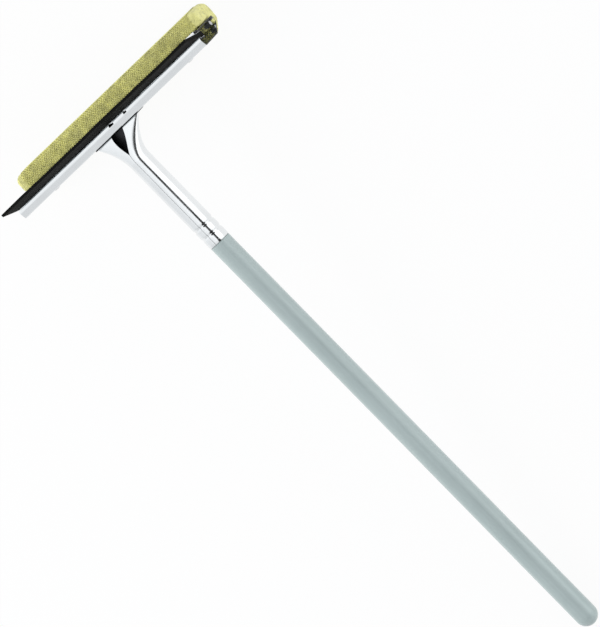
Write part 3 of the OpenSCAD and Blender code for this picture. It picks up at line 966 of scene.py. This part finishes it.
# Blade
class SCRUBBER_OT_blade(bpy.types.Operator):
    """Moulds the rubber blade with its thicker root and its faintly wavy wiping edge"""
    bl_idname = "scrubber.blade"
    bl_label = "Blade"

    def execute(self, context):
        low = ROOT_HEIGHT - ROOT_DEPTH
        side, edge, root = BLADE_THICK / 2, EDGE_THICK / 2, ROOT_WIDTH / 2
        outline = [
            (side, 0), (edge, BLADE_REACH), (-edge, BLADE_REACH), (-side, 0),
            (-side, low + ROOT_CHAMFER), (-root, low), (-root, ROOT_CHAMFER - ROOT_DEPTH),
            (ROOT_CHAMFER - root, -ROOT_DEPTH), (root - ROOT_CHAMFER, -ROOT_DEPTH),
            (root, ROOT_CHAMFER - ROOT_DEPTH), (root, low), (side, low + ROOT_CHAMFER)]
        loop = evened(np.array(outline + outline[:1], float), BLADE_STEP)[:-1]
        stations = np.linspace(-BLADE_LENGTH / 2, BLADE_LENGTH / 2, BLADE_ROWS)
        points = []
        for x in stations:
            wave = sum(height * math.sin(x / length + start) for height, length, start in EDGE_WAVES)
            for w, h in loop:
                free = max(0.0, h / BLADE_REACH)
                y, z = in_blade(w + wave * free ** EDGE_FREEDOM, h)
                points.append((x, y, z))
        blade = mesh_object("blade_strip", laid(points), tube_faces(len(stations), len(loop)))
        outward(blade)
        bevelled(blade, BLADE_BEVEL)
        blade = baked(blade, "blade_strip", SHARP_BEND)
        finish_piece(blade, "blade", "black_rubber", rubber_material(), "blade")
        blade.visible_glossy = False
        return {"FINISHED"}


# Foam and net
def soft_noise(points, frequency, seed):
    """Smooth lumps at the given points, mostly from -1 to 1, from waves in fixed random directions."""
    rng = np.random.default_rng(seed)
    total = np.zeros(len(points))
    for _ in range(NOISE_WAVES):
        along = points @ unit(rng.normal(size=3))
        total += np.sin(along * frequency * rng.uniform(0.6, 1.6) + rng.uniform(0, 2 * math.pi))
    return total / NOISE_WAVES * 2


class SCRUBBER_OT_foam(bpy.types.Operator):
    """Swells the foam block from its solid, with soft edges and shallow lumps"""
    bl_idname = "scrubber.foam"
    bl_label = "Foam"

    def execute(self, context):
        foam = linked("foam_block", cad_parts["foam"].data.copy())
        outward(foam)
        remesh = foam.modifiers.new("Even", "REMESH")
        remesh.mode = "VOXEL"
        remesh.voxel_size = sizes().foam_voxel
        smooth = foam.modifiers.new("Soft", "SMOOTH")
        smooth.factor = 0.5
        smooth.iterations = 6
        foam = baked(foam, "foam_block", math.pi)
        mesh = foam.data
        place, normal = np.empty((2, len(mesh.vertices), 3))
        mesh.vertices.foreach_get("co", place.ravel())
        mesh.vertices.foreach_get("normal", normal.ravel())
        lumps = sum(weight * soft_noise(place, frequency, seed) for weight, frequency, seed in FOAM_LUMPS)
        past = np.clip((np.abs(place[:, 0]) / MM - NET_LENGTH / 2) / SWELL_LENGTH, 0, 1)
        swell = lumps * sizes().foam_bulge * 0.5 + past * past * (3 - 2 * past) * NET_THICK * MM
        place += normal * swell[:, None]
        place[:, 2] = np.maximum(place[:, 2], FLOOR_CLEAR * MM)
        mesh.vertices.foreach_set("co", place.ravel())
        mesh.update()
        finish_piece(foam, "foam_block", "yellow_foam", foam_material(), "foam")
        return {"FINISHED"}


def thread_family(t, inp, guide, sign):
    """One family of threads, wrapped round the guide and leaning to the side that sign says."""
    length, around, pitch, slant = (inp[k] for k in ("Length", "Round", "Pitch", "Slant"))
    shift = t.times(t.times(around, slant), sign)
    span = t.plus(length, t.math("ABSOLUTE", shift))
    first_x = t.minus(t.times(length, -0.5), t.math("MAXIMUM", shift, 0.0))
    row = t.out("GeometryNodeMeshLine", {
        "Count": t.math("CEIL", t.math("DIVIDE", span, pitch)),
        "Start Location": t.xyz(first_x), "Offset": t.xyz(pitch)})
    one = t.out("GeometryNodeCurvePrimitiveLine", {"Start": (0, 0, 0), "End": t.xyz(y=around)})
    stepped = t.out("GeometryNodeResampleCurve", {"Curve": one, "Count": THREAD_POINTS})
    many = t.out("GeometryNodeInstanceOnPoints", {"Points": row, "Instance": stepped})
    threads = t.out("GeometryNodeRealizeInstances", {0: many})
    flat = t.parts(t.position())
    lean = t.times(t.times(flat[1], slant), sign)
    leaning = t.out("GeometryNodeSetPosition", {
        "Geometry": threads, "Position": t.xyz(t.plus(flat[0], lean), flat[1])})
    at = t.parts(t.position())
    beyond = t.math("GREATER_THAN", t.math("ABSOLUTE", at[0]), t.times(length, 0.5))
    kept = t.out("GeometryNodeDeleteGeometry", {"Geometry": leaning, "Selection": beyond}, domain="POINT")
    wrap = t.add("GeometryNodeSampleCurve", {"Curves": guide, "Length": at[1]}, mode="LENGTH").outputs
    away = t.vector("CROSS_PRODUCT", wrap["Tangent"], (1, 0, 0))
    lift = t.scaled(away, t.times(inp["Weave"], sign))
    wrapped = t.parts(t.vector("ADD", wrap["Position"], lift))
    return t.out("GeometryNodeSetPosition", {
        "Geometry": kept, "Position": t.xyz(at[0], wrapped[1], wrapped[2])})


def net_tree():
    """Two families of slanted threads wrapped round a line that is drawn out along X."""
    t, inp, out = shape_tree("Net", "Length", "Round", "Pitch", "Slant", "Thread radius", "Weave")
    guide = t.out("GeometryNodeMeshToCurve", {0: inp["Geometry"]})
    joined = t.joined([thread_family(t, inp, guide, sign) for sign in (1.0, -1.0)])
    ring = t.out("GeometryNodeCurvePrimitiveCircle", {
        "Resolution": 4, "Radius": inp["Thread radius"]})
    threads = t.out("GeometryNodeCurveToMesh", {
        "Curve": joined, "Profile Curve": ring, "Fill Caps": True})
    finish_tree(t, inp, out, laid_down(t, threads))
    return t.tree


class SCRUBBER_OT_net(bpy.types.Operator):
    """Wraps the net round the foam and the rod that holds it in the head"""
    bl_idname = "scrubber.net"
    bl_label = "Net"

    def execute(self, context):
        line = net_line()
        around = float(np.sum(np.linalg.norm(np.diff(line, axis=0), axis=1))) * MM
        net = grown("net_threads", *chain(line), net_tree(), {
            "Length": NET_LENGTH * MM, "Round": around, "Pitch": sizes().net_pitch, "Slant": NET_SLANT,
            "Thread radius": sizes().thread_radius, "Weave": NET_WEAVE * MM,
            "Material": net_material()}, math.pi)
        finish_piece(net, "foam_block", "yellow_net", None, "net_cover")
        return {"FINISHED"}


# Handle
class SCRUBBER_OT_handle(bpy.types.Operator):
    """Turns the painted handle with its shoulder, tenon and round end"""
    bl_idname = "scrubber.handle"
    bl_label = "Handle"

    def execute(self, context):
        tenon_r = TUBE_R - SHEET - FIT
        start = SHANK_LENGTH - TENON_LENGTH
        dome = SHANK_LENGTH + HANDLE_LENGTH - HANDLE_R
        shoulder = SHANK_LENGTH + HANDLE_GAP
        neck = HANDLE_R - SHOULDER_R
        profile = [(0.001, start), (tenon_r - 1, start), (tenon_r, start + 1)]
        profile += [
            (tenon_r - crimp_depth(d) - HANDLE_GAP, place + d)
            for place in CRIMPS for d in crimp_steps(GROOVE_ROWS)]
        profile += [(tenon_r, SHANK_LENGTH), (neck, shoulder)]
        profile += [
            (neck + SHOULDER_R * math.sin(a), shoulder + SHOULDER_R * (1 - math.cos(a)))
            for a in np.radians([15, 35, 55, 75, 90])]
        profile += [(HANDLE_R, d) for d in np.linspace(SHANK_LENGTH + 4, dome, HANDLE_RINGS)]
        profile += [
            (max(0.001, HANDLE_R * math.cos(a)), dome + HANDLE_R * math.sin(a))
            for a in np.radians(np.linspace(4, 90, DOME_RINGS))]
        turn = np.linspace(0, 2 * math.pi, HANDLE_SIDES, endpoint=False)
        points = [(r * math.cos(a), -d, r * math.sin(a)) for r, d in profile for a in turn]
        handle = mesh_object("handle_dowel", laid(points), tube_faces(len(profile), HANDLE_SIDES))
        outward(handle)
        smoothed(handle.data, SHOULDER_BEND)
        finish_piece(handle, "head", "painted_wood", paint_material(), "handle")
        return {"FINISHED"}


class SCRUBBER_OT_inner_steel(bpy.types.Operator):
    """Gives the plain steel pieces inside the head their drawn finish"""
    bl_idname = "scrubber.inner_steel"
    bl_label = "Inner steel"

    def execute(self, context):
        finishes = {
            "backing_plate": steel_material("plate_steel", (0.50, 0.51, 0.52), (30, 900, 900), 0.38),
            "shell_spacers": steel_material("spacer_steel", (0.52, 0.53, 0.54), (900, 40, 900), 0.34),
            "net_rod": steel_material("rod_steel", (0.62, 0.63, 0.64), (25, 900, 900), 0.28),
        }
        for node, material in finishes.items():
            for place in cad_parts[node].material_slots:
                place.material = material
        return {"FINISHED"}


# Stage: the photograph's view, in turns of the tool and pixels of a 600 x 627 picture, then the tent of white
# cards that the chrome mirrors, the floor and the lamps
VIEW_ROLL = math.radians(25)
VIEW_TIP = math.radians(2.1)
PIXELS_PER_METRE = 1360.0
LENS = 1200.0
IMAGE_SIZE = (600, 627)
# A point of the tool's own frame and the pixel that it falls on, and the handle's direction in the picture
AXIS_POINT = (0, 7, 0)
AXIS_PIXEL = (107.8, 127.05)
ALONG = (0.70037, 0.71378)
# The dark gap in the tent: its middle, half its width and how much wider it gets away from the middle, in
# degrees across the tool
TENT_GAP_PLACE = 6.5
TENT_GAP_HALF = 11.0
TENT_GAP_FLARE = 36.0
# The tent's greys from one side of the tool to the other, and its strength at two places along the tool, as
# (first place, second place, strength at the first, strength at the second)
TENT_GREYS = [
    (0.0, (0.62, 0.63, 0.64)), (0.42, (0.80, 0.81, 0.82)), (0.56, (0.93, 0.935, 0.94)), (1.0, (1, 1, 1))]
TENT_STRENGTH = (-0.42, 0.08, 1.15, 1.5)
SOFT_LIGHT = 0.72
FLOOR_WHITE = 0.93
FLOOR_HALF = 6
FLOOR_Z = -0.0003
# Lamps as (name, direction, size in metres, power in watts), at one distance from the tool's middle
LAMPS = (("Key", (-1.0, 0.35, 0.45), 1.6, 26.0), ("Fill", (1.0, -0.2, 0.12), 1.4, 20.0))
LAMP_DISTANCE = 2.0
LAMP_AIM = (0, 0, 0.03)


def view_axes():
    """The camera's right, up and back directions, then across and along the tool, as it lies on the floor."""
    sr, cr = math.sin(VIEW_ROLL), math.cos(VIEW_ROLL)
    st, ct = math.sin(VIEW_TIP), math.cos(VIEW_TIP)
    across = Vector((cr, 0, -sr))
    along = Vector((-sr * st, ct, -cr * st))
    back = Vector((sr * ct, st, cr * ct))
    right = ALONG[1] * across - ALONG[0] * along
    up = ALONG[0] * across + ALONG[1] * along
    return [turned(v) for v in (right, up, back, across, along)]


def seen_directly(t):
    """1 for rays that show the background: from the camera, a mirror or glass."""
    rays = t.add("ShaderNodeLightPath").outputs
    mirror = t.math("MAXIMUM", rays["Is Glossy Ray"], rays["Is Transmission Ray"])
    return t.math("MAXIMUM", rays["Is Camera Ray"], mirror)


def floor_material():
    """Nearly white to the camera and to mirrors, and pale and matt to all other light."""
    material, t = new_material("pale_floor")
    matt = t.out("ShaderNodeBsdfDiffuse", {"Color": (0.88, 0.88, 0.88, 1)})
    glow = t.out("ShaderNodeEmission", {"Color": (1, 1, 1, 1), "Strength": 1.0})
    mix = t.out("ShaderNodeMixShader", {0: t.times(seen_directly(t), FLOOR_WHITE), 1: matt, 2: glow})
    t.add("ShaderNodeOutputMaterial", {0: mix})
    return material


def add_camera(right, up, back):
    dx = IMAGE_SIZE[0] / 2 - AXIS_PIXEL[0]
    dy = IMAGE_SIZE[1] / 2 - AXIS_PIXEL[1]
    target = Vector(laid([AXIS_POINT])[0]) + (right * dx - up * dy) / PIXELS_PER_METRE
    data = bpy.data.cameras.new("Camera")
    data.lens = LENS
    data.sensor_width = 36
    data.clip_end = 200
    distance = data.lens / data.sensor_width * IMAGE_SIZE[1] / PIXELS_PER_METRE
    camera = linked("Camera", data)
    camera.matrix_world = Matrix((right, up, back)).transposed().to_4x4()
    camera.location = target + back * distance
    bpy.context.scene.camera = camera


def add_floor():
    floor = bpy.data.meshes.new("floor")
    signs = ((-1, -1), (1, -1), (1, 1), (-1, 1))
    floor.from_pydata([(x * FLOOR_HALF, y * FLOOR_HALF, FLOOR_Z) for x, y in signs], [], [(0, 1, 2, 3)])
    floor.materials.append(floor_material())
    linked("floor", floor)


def add_world(across, back, along):
    """White to the camera, soft light to matt surfaces, and to mirrors a tent with a dark gap."""
    world = bpy.data.worlds.new("Studio")
    t = emptied(world)
    toward = t.add("ShaderNodeTexCoord").outputs["Generated"]
    side, ahead, beyond = (t.dot(toward, tuple(axis)) for axis in (across, back, along))
    tent = ramp(t, t.ranged(side, -1.0, 1.0, 0.0, 1.0), TENT_GREYS)
    angle = t.math("ARCTAN2", side, ahead)
    off_gap = t.math("ABSOLUTE", t.minus(angle, math.radians(TENT_GAP_PLACE)))
    flare = t.times(t.times(beyond, beyond), math.radians(TENT_GAP_FLARE))
    edge = t.plus(flare, math.radians(TENT_GAP_HALF))
    gap = t.ranged(off_gap, t.times(edge, 0.75), edge, 0.02, 1.0)
    seen = t.scaled(tent, t.times(gap, t.ranged(beyond, *TENT_STRENGTH)))
    mirrored, soft, white = (
        t.out("ShaderNodeBackground", {"Color": colour, "Strength": strength})
        for colour, strength in ((seen, 1.0), ((0.94, 0.96, 1.0, 1), SOFT_LIGHT), ((1, 1, 1, 1), 1.0)))
    rays = t.add("ShaderNodeLightPath").outputs
    lit = t.out("ShaderNodeMixShader", {0: rays["Is Glossy Ray"], 1: soft, 2: mirrored})
    shown = t.out("ShaderNodeMixShader", {0: rays["Is Camera Ray"], 1: lit, 2: white})
    t.add("ShaderNodeOutputWorld", {0: shown})
    bpy.context.scene.world = world


def add_lamps():
    for name, direction, size, power in LAMPS:
        light = bpy.data.lights.new(name, "AREA")
        light.size = size
        light.energy = power
        lamp = linked(name, light)
        aim = Vector(direction).normalized()
        lamp.location = Vector(LAMP_AIM) + aim * LAMP_DISTANCE
        lamp.rotation_mode = "QUATERNION"
        lamp.rotation_quaternion = (-aim).to_track_quat("-Z", "Y")
        lamp.visible_camera = False
        lamp.visible_glossy = False


class SCRUBBER_OT_stage(bpy.types.Operator):
    """Sets the camera, the pale floor, the soft light and the tent that the chrome mirrors"""
    bl_idname = "scrubber.stage"
    bl_label = "Stage"

    def execute(self, context):
        right, up, back, across, along = view_axes()
        add_camera(right, up, back)
        add_floor()
        add_world(across, back, along)
        add_lamps()
        context.scene.view_settings.view_transform = "Standard"
        return {"FINISHED"}


class SCRUBBER_PT_panel(bpy.types.Panel):
    bl_label = "Window scrubber"
    bl_idname = "SCRUBBER_PT_panel"
    bl_space_type = "VIEW_3D"
    bl_region_type = "UI"
    bl_category = "Scrubber"

    def draw(self, context):
        for group in (context.scene.scrubber_sizes, context.scene.scrubber_colours):
            for key in group.__annotations__:
                self.layout.prop(group, key)
        for operator in OPERATORS:
            self.layout.operator(operator.bl_idname)


OPERATORS = (
    SCRUBBER_OT_stage, SCRUBBER_OT_handle, SCRUBBER_OT_shank, SCRUBBER_OT_head, SCRUBBER_OT_rivets,
    SCRUBBER_OT_inner_steel, SCRUBBER_OT_blade, SCRUBBER_OT_foam, SCRUBBER_OT_net,
)
CLASSES = (ScrubberSizes, ScrubberColours, *OPERATORS, SCRUBBER_PT_panel)


def register():
    for cls in CLASSES:
        bpy.utils.register_class(cls)
    bpy.types.Scene.scrubber_sizes = PointerProperty(type=ScrubberSizes)
    bpy.types.Scene.scrubber_colours = PointerProperty(type=ScrubberColours)


def unregister():
    del bpy.types.Scene.scrubber_sizes
    del bpy.types.Scene.scrubber_colours
    for cls in reversed(CLASSES):
        bpy.utils.unregister_class(cls)


def main():
    register()
    bpy.ops.scrubber.stage()
    bpy.ops.scrubber.handle()
    bpy.ops.scrubber.shank()
    bpy.ops.scrubber.head()
    bpy.ops.scrubber.rivets()
    bpy.ops.scrubber.inner_steel()
    bpy.ops.scrubber.blade()
    bpy.ops.scrubber.foam()
    bpy.ops.scrubber.net()


if __name__ == "__main__":
    main()
